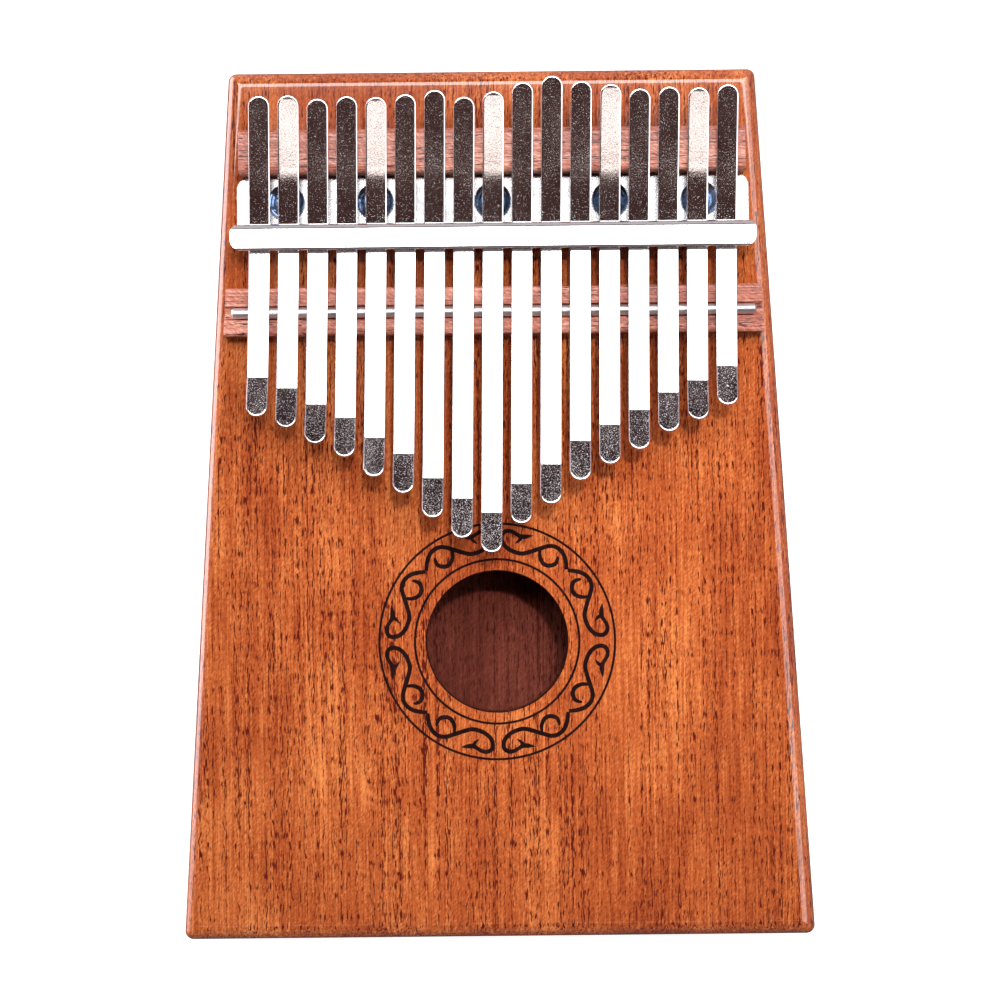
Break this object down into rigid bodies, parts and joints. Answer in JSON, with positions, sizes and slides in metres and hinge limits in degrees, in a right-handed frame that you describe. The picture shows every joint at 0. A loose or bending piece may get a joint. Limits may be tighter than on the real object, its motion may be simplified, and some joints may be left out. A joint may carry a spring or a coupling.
{
  "type": "thumb piano",
  "caption": "Hollow hardwood thumb piano: round sound hole in a burnt scroll ring, flat steel tines clamped by a slotted chrome bracket over wooden bridges.",
  "frame": {"origin": "under the middle of the body, on the back plate's outer face that it rests on", "axes": "+Z out of the face, +Y towards the head end where the tails of the tines are, +X to the right"},
  "size_m": [0.1346, 0.185, 0.0471],
  "materials": {
    "body_wood": "orange-brown mahogany with a satin lacquer and fine dark pores",
    "bridge_wood": "pinkish-brown hardwood, oiled",
    "bracket_chrome": "bright plated",
    "rod_steel": "drawn bright rod",
    "screw_zinc": "blue zinc plating",
    "tine_steel": "polished spring steel with rounded edges"
  },
  "bodies": {
    "root": {"body_shell": "body_wood", "back_plate": "body_wood", "back_bridge": "bridge_wood", "front_bridge": "bridge_wood", "bridge_rod": "rod_steel", "pressure_bracket": "bracket_chrome", "bracket_screw_1": "screw_zinc", "bracket_screw_2": "screw_zinc", "bracket_screw_3": "screw_zinc", "bracket_screw_4": "screw_zinc", "bracket_screw_5": "screw_zinc"},
    "tine_01_tail": {"tine_01_tail": "tine_steel"},
    "tine_01_reed": {"tine_01_reed": "tine_steel"},
    "tine_02_tail": {"tine_02_tail": "tine_steel"},
    "tine_02_reed": {"tine_02_reed": "tine_steel"},
    "tine_03_tail": {"tine_03_tail": "tine_steel"},
    "tine_03_reed": {"tine_03_reed": "tine_steel"},
    "tine_04_tail": {"tine_04_tail": "tine_steel"},
    "tine_04_reed": {"tine_04_reed": "tine_steel"},
    "tine_05_tail": {"tine_05_tail": "tine_steel"},
    "tine_05_reed": {"tine_05_reed": "tine_steel"},
    "tine_06_tail": {"tine_06_tail": "tine_steel"},
    "tine_06_reed": {"tine_06_reed": "tine_steel"},
    "tine_07_tail": {"tine_07_tail": "tine_steel"},
    "tine_07_reed": {"tine_07_reed": "tine_steel"},
    "tine_08_tail": {"tine_08_tail": "tine_steel"},
    "tine_08_reed": {"tine_08_reed": "tine_steel"},
    "tine_09_tail": {"tine_09_tail": "tine_steel"},
    "tine_09_reed": {"tine_09_reed": "tine_steel"},
    "tine_10_tail": {"tine_10_tail": "tine_steel"},
    "tine_10_reed": {"tine_10_reed": "tine_steel"},
    "tine_11_tail": {"tine_11_tail": "tine_steel"},
    "tine_11_reed": {"tine_11_reed": "tine_steel"},
    "tine_12_tail": {"tine_12_tail": "tine_steel"},
    "tine_12_reed": {"tine_12_reed": "tine_steel"},
    "tine_13_tail": {"tine_13_tail": "tine_steel"},
    "tine_13_reed": {"tine_13_reed": "tine_steel"},
    "tine_14_tail": {"tine_14_tail": "tine_steel"},
    "tine_14_reed": {"tine_14_reed": "tine_steel"},
    "tine_15_tail": {"tine_15_tail": "tine_steel"},
    "tine_15_reed": {"tine_15_reed": "tine_steel"},
    "tine_16_tail": {"tine_16_tail": "tine_steel"},
    "tine_16_reed": {"tine_16_reed": "tine_steel"},
    "tine_17_tail": {"tine_17_tail": "tine_steel"},
    "tine_17_reed": {"tine_17_reed": "tine_steel"}
  },
  "joints": [
    {"name": "tine_01_pluck", "type": "hinge", "parent": "tine_01_tail", "child": "tine_01_reed", "pos_m": [-0.04945, 0.0407, 0.03778], "axis": [0.9999, -0.014, 0], "range_deg": [-2, 3], "stiffness_Nm_per_rad": 8.586},
    {"name": "tine_02_pluck", "type": "hinge", "parent": "tine_02_tail", "child": "tine_02_reed", "pos_m": [-0.0433, 0.0407, 0.03778], "axis": [0.9999, -0.014, 0], "range_deg": [-2, 3], "stiffness_Nm_per_rad": 7.762},
    {"name": "tine_03_pluck", "type": "hinge", "parent": "tine_03_tail", "child": "tine_03_reed", "pos_m": [-0.03715, 0.0407, 0.03778], "axis": [0.9999, -0.014, 0], "range_deg": [-2, 3], "stiffness_Nm_per_rad": 6.799},
    {"name": "tine_04_pluck", "type": "hinge", "parent": "tine_04_tail", "child": "tine_04_reed", "pos_m": [-0.031, 0.0407, 0.03778], "axis": [0.9999, -0.014, 0], "range_deg": [-2, 3], "stiffness_Nm_per_rad": 6.165},
    {"name": "tine_05_pluck", "type": "hinge", "parent": "tine_05_tail", "child": "tine_05_reed", "pos_m": [-0.02485, 0.0407, 0.03778], "axis": [0.9999, -0.014, 0], "range_deg": [-2, 3], "stiffness_Nm_per_rad": 5.419},
    {"name": "tine_06_pluck", "type": "hinge", "parent": "tine_06_tail", "child": "tine_06_reed", "pos_m": [-0.0187, 0.0407, 0.03778], "axis": [0.9999, -0.014, 0], "range_deg": [-2, 3], "stiffness_Nm_per_rad": 4.925},
    {"name": "tine_07_pluck", "type": "hinge", "parent": "tine_07_tail", "child": "tine_07_reed", "pos_m": [-0.01255, 0.0407, 0.03778], "axis": [0.9999, -0.014, 0], "range_deg": [-2, 3], "stiffness_Nm_per_rad": 4.34},
    {"name": "tine_08_pluck", "type": "hinge", "parent": "tine_08_tail", "child": "tine_08_reed", "pos_m": [-0.0064, 0.0407, 0.03778], "axis": [0.9999, -0.014, 0], "range_deg": [-2, 3], "stiffness_Nm_per_rad": 3.951},
    {"name": "tine_09_pluck", "type": "hinge", "parent": "tine_09_tail", "child": "tine_09_reed", "pos_m": [-0.00025, 0.0407, 0.03778], "axis": [0.9999, -0.014, 0], "range_deg": [-2, 3], "stiffness_Nm_per_rad": 3.713},
    {"name": "tine_10_pluck", "type": "hinge", "parent": "tine_10_tail", "child": "tine_10_reed", "pos_m": [0.0059, 0.0407, 0.03778], "axis": [0.9999, -0.014, 0], "range_deg": [-2, 3], "stiffness_Nm_per_rad": 4.206},
    {"name": "tine_11_pluck", "type": "hinge", "parent": "tine_11_tail", "child": "tine_11_reed", "pos_m": [0.01205, 0.0407, 0.03778], "axis": [0.9999, -0.014, 0], "range_deg": [-2, 3], "stiffness_Nm_per_rad": 4.622},
    {"name": "tine_12_pluck", "type": "hinge", "parent": "tine_12_tail", "child": "tine_12_reed", "pos_m": [0.0182, 0.0407, 0.03778], "axis": [0.9999, -0.014, 0], "range_deg": [-2, 3], "stiffness_Nm_per_rad": 5.248},
    {"name": "tine_13_pluck", "type": "hinge", "parent": "tine_13_tail", "child": "tine_13_reed", "pos_m": [0.02435, 0.0407, 0.03778], "axis": [0.9999, -0.014, 0], "range_deg": [-2, 3], "stiffness_Nm_per_rad": 5.779},
    {"name": "tine_14_pluck", "type": "hinge", "parent": "tine_14_tail", "child": "tine_14_reed", "pos_m": [0.0305, 0.0407, 0.03778], "axis": [0.9999, -0.014, 0], "range_deg": [-2, 3], "stiffness_Nm_per_rad": 6.369},
    {"name": "tine_15_pluck", "type": "hinge", "parent": "tine_15_tail", "child": "tine_15_reed", "pos_m": [0.03665, 0.0407, 0.03778], "axis": [0.9999, -0.014, 0], "range_deg": [-2, 3], "stiffness_Nm_per_rad": 7.263},
    {"name": "tine_16_pluck", "type": "hinge", "parent": "tine_16_tail", "child": "tine_16_reed", "pos_m": [0.0428, 0.0407, 0.03778], "axis": [0.9999, -0.014, 0], "range_deg": [-2, 3], "stiffness_Nm_per_rad": 8.026},
    {"name": "tine_17_pluck", "type": "hinge", "parent": "tine_17_tail", "child": "tine_17_reed", "pos_m": [0.04895, 0.0407, 0.03778], "axis": [0.9999, -0.014, 0], "range_deg": [-2, 3], "stiffness_Nm_per_rad": 9.191},
    {"name": "tine_01_tuning", "type": "slide", "parent": "root", "child": "tine_01_tail", "axis": [0.014, 0.9999, 0], "range_m": [-0.001, 0.001]},
    {"name": "tine_02_tuning", "type": "slide", "parent": "root", "child": "tine_02_tail", "axis": [0.014, 0.9999, 0], "range_m": [-0.001, 0.001]},
    {"name": "tine_03_tuning", "type": "slide", "parent": "root", "child": "tine_03_tail", "axis": [0.014, 0.9999, 0], "range_m": [-0.001, 0.001]},
    {"name": "tine_04_tuning", "type": "slide", "parent": "root", "child": "tine_04_tail", "axis": [0.014, 0.9999, 0], "range_m": [-0.001, 0.001]},
    {"name": "tine_05_tuning", "type": "slide", "parent": "root", "child": "tine_05_tail", "axis": [0.014, 0.9999, 0], "range_m": [-0.001, 0.001]},
    {"name": "tine_06_tuning", "type": "slide", "parent": "root", "child": "tine_06_tail", "axis": [0.014, 0.9999, 0], "range_m": [-0.001, 0.001]},
    {"name": "tine_07_tuning", "type": "slide", "parent": "root", "child": "tine_07_tail", "axis": [0.014, 0.9999, 0], "range_m": [-0.001, 0.001]},
    {"name": "tine_08_tuning", "type": "slide", "parent": "root", "child": "tine_08_tail", "axis": [0.014, 0.9999, 0], "range_m": [-0.001, 0.001]},
    {"name": "tine_09_tuning", "type": "slide", "parent": "root", "child": "tine_09_tail", "axis": [0.014, 0.9999, 0], "range_m": [-0.001, 0.001]},
    {"name": "tine_10_tuning", "type": "slide", "parent": "root", "child": "tine_10_tail", "axis": [0.014, 0.9999, 0], "range_m": [-0.001, 0.001]},
    {"name": "tine_11_tuning", "type": "slide", "parent": "root", "child": "tine_11_tail", "axis": [0.014, 0.9999, 0], "range_m": [-0.001, 0.001]},
    {"name": "tine_12_tuning", "type": "slide", "parent": "root", "child": "tine_12_tail", "axis": [0.014, 0.9999, 0], "range_m": [-0.001, 0.001]},
    {"name": "tine_13_tuning", "type": "slide", "parent": "root", "child": "tine_13_tail", "axis": [0.014, 0.9999, 0], "range_m": [-0.001, 0.001]},
    {"name": "tine_14_tuning", "type": "slide", "parent": "root", "child": "tine_14_tail", "axis": [0.014, 0.9999, 0], "range_m": [-0.001, 0.001]},
    {"name": "tine_15_tuning", "type": "slide", "parent": "root", "child": "tine_15_tail", "axis": [0.014, 0.9999, 0], "range_m": [-0.001, 0.001]},
    {"name": "tine_16_tuning", "type": "slide", "parent": "root", "child": "tine_16_tail", "axis": [0.014, 0.9999, 0], "range_m": [-0.001, 0.001]},
    {"name": "tine_17_tuning", "type": "slide", "parent": "root", "child": "tine_17_tail", "axis": [0.014, 0.9999, 0], "range_m": [-0.001, 0.001]}
  ]
}
